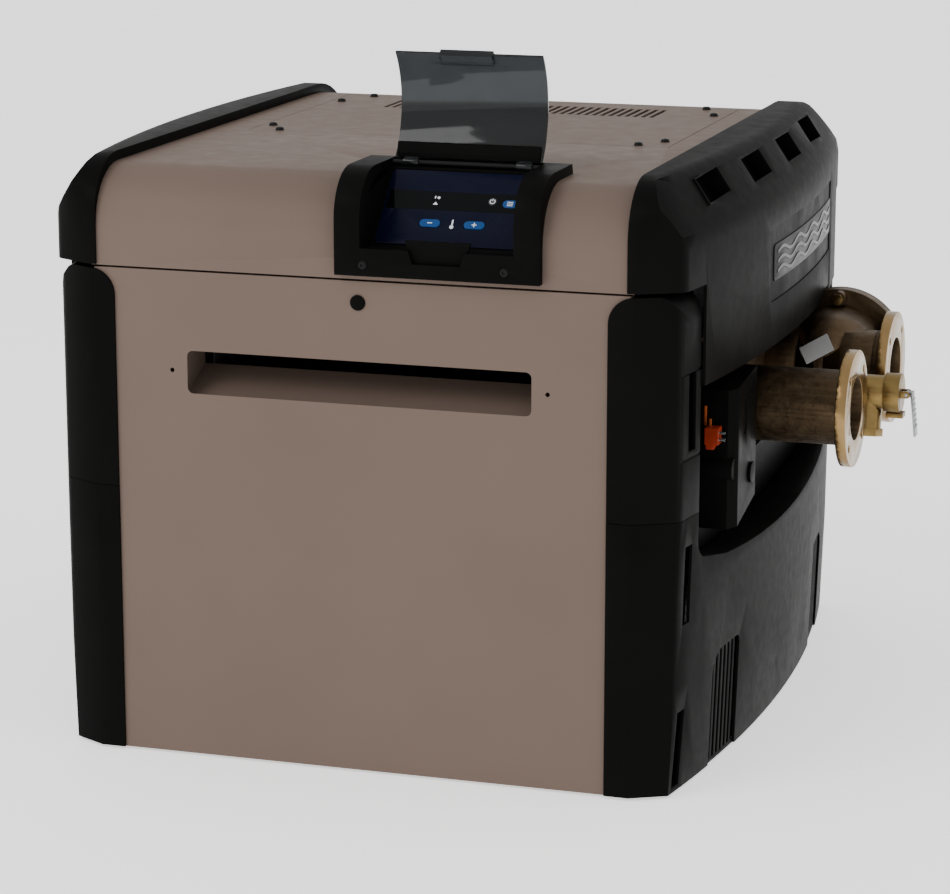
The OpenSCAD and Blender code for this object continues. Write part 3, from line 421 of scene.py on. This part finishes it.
# painted shade: a dark sheet behind each louvre and each upright slot
for side_name, side in SIDES.items():
    for end_name, end in ENDS.items():
        corners = upright(side, (0.311, end * 0.270), (0.3265, end * 0.095), *LOUVER_Z)
        block("louver_shade_%s_%s" % (side_name, end_name), corners, Vector((-side * SHADE_SHEET, 0, 0)))
    for slot_name, x, low, high in (("lower", 0.3155, 0.004, 0.274), ("middle", 0.321, 0.281, 0.490)):
        corners = upright(side, (PAN_EDGE, SLOT_Y), (x, SLOT_Y), low, high)
        block("slot_shade_%s_%s" % (slot_name, side_name), corners, Vector((0, -SHADE_SHEET, 0)))

# painted shade: a dark sheet on the floor inside each side panel
for side_name, side in SIDES.items():
    block("panel_shade_floor_" + side_name, panel_shade_floor(side), Vector((0, 0, 1.5 * MM)), 0.2)

# painted shade: a dark sheet under the grille, millimetres from the middle of its slots
SHADE_TRAY = ((-170, -38), (170, -38), (170, 33), (-170, 33))
access_low, access_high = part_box("access_panel")
grille_y = access_high.y - 65.5 * MM
block("grille_shade_tray", [(x * MM, grille_y + y * MM, access_low.z - 3 * MM) for x, y in SHADE_TRAY],
      Vector((0, 0, -1.5 * MM)))

# black band where the smoky cover meets its hinge: its section, millimetres behind and above the hinge
BAND = ((0.6, 4.6), (0.4, 9.0), (3.2, 19.0), (5.0, 19.4), (8.4, 19.0), (6.6, 10.0), (6.2, 4.6))
HINGE = Vector(JOINT["display_cover_hinge"]["pos_m"])
band_w = 146 * MM
block("hinge_band", [HINGE + Vector((-band_w / 2, y * MM, z * MM)) for y, z in BAND],
      Vector((band_w, 0, 0)), 0.6, body="cover")

# ribs on the test lever, which leans outwards towards its foot
lever_low, lever_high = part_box("relief_lever")
lever_y = middle("relief_lever").y
lever_lean = math.tan(math.radians(6))
RIB = ((-6, 0), (6, 0), (6, 2.2), (-6, 2.2))
for i in range(6):
    z = lever_high.z - (10 + 5.6 * i) * MM
    x = lever_high.x - (z - lever_low.z) * lever_lean - 0.5 * MM
    block("lever_rib_%d" % i, [(x, lever_y + y * MM, z + rise * MM) for y, rise in RIB],
          Vector((1.3 * MM, 0, 0)), 0.5, body="lever", look=LOOKS["steel"])


# ---- the marks on the display ----

PRESS = Vector(JOINT["minus_press"]["axis"]).normalized()
ACROSS = Vector((1, 0, 0))
UP_SLOPE = ACROSS.cross(PRESS).normalized()


def face_point(node):
    """The middle of a display piece's outer face."""
    centre = middle(node)
    reach = max((v.co - centre).dot(-PRESS) for v in NODES[node].data.vertices)
    return centre - PRESS * reach


def mark(name, body, centre, shapes, look=WHITE_INK, thickness=0.12):
    """Flat raised shapes, each a list of points in millimetres across and up the display's slope."""
    shape = bmesh.new()
    for outline in shapes:
        corners = [shape.verts.new(centre + ACROSS * x * MM + UP_SLOPE * y * MM) for x, y in outline]
        face = shape.faces.new(corners)
        face.normal_update()
        if face.normal.dot(PRESS) > 0:
            face.normal_flip()
    piece = new_piece(name, pushed(name, shape, list(shape.faces), -PRESS * thickness * MM), look)
    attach(piece, body)


def bar(x, y, w, h):
    return [(x - w / 2, y - h / 2), (x + w / 2, y - h / 2), (x + w / 2, y + h / 2), (x - w / 2, y + h / 2)]


def triangle(x, y, w, h):
    return [(x - w / 2, y - h / 2), (x + w / 2, y - h / 2), (x, y + h / 2)]


def around(x, y, r, angle):
    return x + r * math.cos(angle), y + r * math.sin(angle)


def ring(x, y, r, thick, start, end, steps=18):
    """An arc-shaped band, in degrees anticlockwise."""
    angles = [math.radians(start + (end - start) * i / steps) for i in range(steps + 1)]
    return [around(x, y, r, a) for a in angles] + [around(x, y, r - thick, a) for a in reversed(angles)]


def disc(x, y, r, steps=16):
    return [around(x, y, r, math.tau * i / steps) for i in range(steps)]


mark("minus_sign", "minus_key", face_point("minus_button"), [bar(0, 0, 5, 1)])
mark("plus_sign", "plus_key", face_point("plus_button"),
     [bar(0, 0, 5, 1), bar(0, 1.5, 1, 2), bar(0, -1.5, 1, 2)])
mark("menu_lines", "menu_key", face_point("menu_button"), [bar(0, y, 6, 0.8) for y in (-2, 0, 2)])
mark("mode_sign", "mode_key", face_point("mode_button"),
     [ring(0, 0, 2.9, 0.8, 125, 415), bar(0, 1.8, 0.8, 2.6)])

film = face_point("keypad_overlay")
window = film + UP_SLOPE * 8.5 * MM
mark("window_band", "cabinet", window, [bar(0, 0, 143, 22)], LOOKS["lcd"], 0.08)
mark("heat_sign", "cabinet", window - ACROSS * 22 * MM,
     [triangle(0, -3, 5, 3.4), disc(2, 3.6, 1.5), bar(-1.6, 4, 1.2, 3)], thickness=0.2)
mark("thermometer", "cabinet", film - UP_SLOPE * 18.5 * MM, [disc(0, -3, 2.1), bar(0, 1.8, 1.5, 7.4)])


# ---- a wave sign in place of lettering on each badge ----

BADGE_R = 2.1427                # radius of the badge's outer face
BADGE_Z = 0.487
WAVE_LENGTH = 0.30              # of the whole sign
WAVE_COUNT = 4
WAVE_RISE = 0.0035
WAVE_WIDTH = 0.0036
WAVE_PITCH = 0.010
WAVE_STEPS = 60


def wave(name, side, height):
    """A wavy raised line that follows the bow of the badge."""
    axis_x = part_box("emblem_plates")[1].x - BADGE_R
    middle_y = middle("emblem_plates").y
    line = []
    for i in range(WAVE_STEPS + 1):
        part = i / WAVE_STEPS
        y = middle_y + (part - 0.5) * WAVE_LENGTH
        x = side * (axis_x + math.sqrt(BADGE_R * BADGE_R - y * y))
        line.append((x, y, height + WAVE_RISE * math.sin(part * math.tau * WAVE_COUNT)))
    shape = bmesh.new()
    top = [shape.verts.new((x, y, z + WAVE_WIDTH / 2)) for x, y, z in line]
    foot = [shape.verts.new((x, y, z - WAVE_WIDTH / 2)) for x, y, z in line]
    faces = [shape.faces.new((top[i], top[i + 1], foot[i + 1], foot[i])) for i in range(WAVE_STEPS)]
    piece = new_piece(name, pushed(name, shape, faces, Vector((side * 0.8 * MM, 0, 0))), RELIEF)
    bevelled(piece, 0.3)
    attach(piece, "cabinet")


for side_name, side in SIDES.items():
    for row in range(3):
        wave("wave_%s_%d" % (side_name, row), side, BADGE_Z + (row - 1) * WAVE_PITCH)


# ---- stage ----

FLOOR_SIZE = 60.0


def floor():
    shape = bmesh.new()
    bmesh.ops.create_grid(shape, x_segments=8, y_segments=8, size=FLOOR_SIZE / 2)
    mesh = bpy.data.meshes.new("floor")
    shape.to_mesh(mesh)
    shape.free()
    look = Look("pale_floor", specular=0.2)
    look.colour(look.noise(0.5, 3), (0.3, (0.90, 0.90, 0.90)), (0.7, (0.92, 0.92, 0.92)))
    look.rough(look.noise(0.1, 3), 0.6, 0.7)
    look.put(Emission_Color=(1, 1, 1, 1), Emission_Strength=0.9)
    new_piece("floor", mesh, look.material)


def area_light(name, place, target, size, power):
    light = bpy.data.lights.new(name, "AREA")
    light.shape = "RECTANGLE"
    light.size, light.size_y = size
    light.energy = power
    lamp = bpy.data.objects.new(name, light)
    bpy.context.scene.collection.objects.link(lamp)
    lamp.location = place
    lamp.rotation_euler = (Vector(target) - Vector(place)).to_track_quat("-Z", "Y").to_euler()


def camera(place, down, turn, lens_mm):
    """A camera at place that looks down and turns by degrees from the cabinet's front."""
    lens = bpy.data.cameras.new("camera")
    lens.lens = lens_mm
    lens.sensor_width = 36
    eye = bpy.data.objects.new("camera", lens)
    bpy.context.scene.collection.objects.link(eye)
    eye.location = place
    eye.rotation_euler = (math.radians(90 - down), 0, math.radians(turn))
    bpy.context.scene.camera = eye


def world(strength):
    sky = bpy.data.worlds.new("studio")
    sky.use_nodes = True
    background = sky.node_tree.nodes["Background"]
    background.inputs["Color"].default_value = (1, 1, 1, 1)
    background.inputs["Strength"].default_value = strength
    bpy.context.scene.world = sky


floor()
camera((1.0425, -3.2996, 1.0591), down=13.175, turn=17.525, lens_mm=123.68)
world(1.05)
area_light("key", (-1.6, -2.6, 2.6), (0, -0.2, 0.35), (1.8, 1.4), 46)
area_light("side", (2.8, 0.4, 1.9), (0.3, 0, 0.4), (1.6, 2.4), 8)
